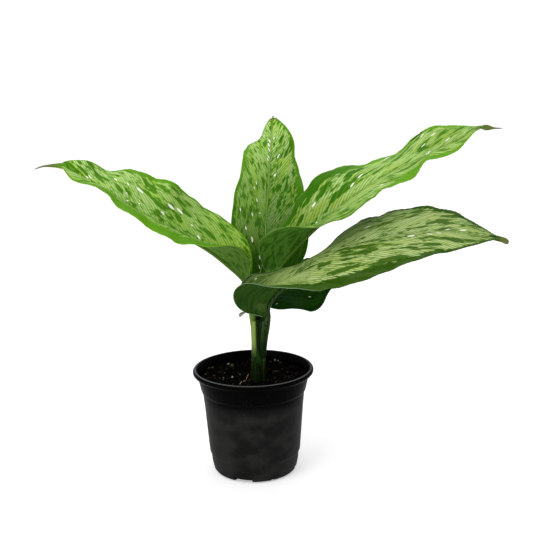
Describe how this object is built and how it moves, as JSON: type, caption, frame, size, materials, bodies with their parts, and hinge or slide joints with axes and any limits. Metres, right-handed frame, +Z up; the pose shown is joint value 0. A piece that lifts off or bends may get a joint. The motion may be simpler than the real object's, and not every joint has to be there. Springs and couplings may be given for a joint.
{
  "type": "potted dieffenbachia",
  "caption": "Broad-leaved potted foliage plant: long waved pointed leaves with pale mottling fan out from a short green stem in dark soil in a round black nursery pot.",
  "frame": {"origin": "centre of the pot's flat underside, on the pot's axis, at the level it stands on", "axes": "+Z up along the pot's axis; +X along the plant's longest spread, towards the side with the two long leaves; -Y is the front, the side the plant is seen from"},
  "size_m": [0.4005, 0.1818, 0.3102],
  "materials": {
    "pot": "satin black moulded plastic",
    "soil": "damp dark peat with pale grit",
    "stem": "smooth green plant skin",
    "leaf": "smooth green leaf, mottled with pale yellow-green"
  },
  "bodies": {
    "root": {"pot": "pot", "soil": "soil", "stem": "stem", "leaf_left": "leaf", "leaf_centre": "leaf", "leaf_upper_right": "leaf", "leaf_lower_right": "leaf", "leaf_back": "leaf"}
  },
  "joints": []
}
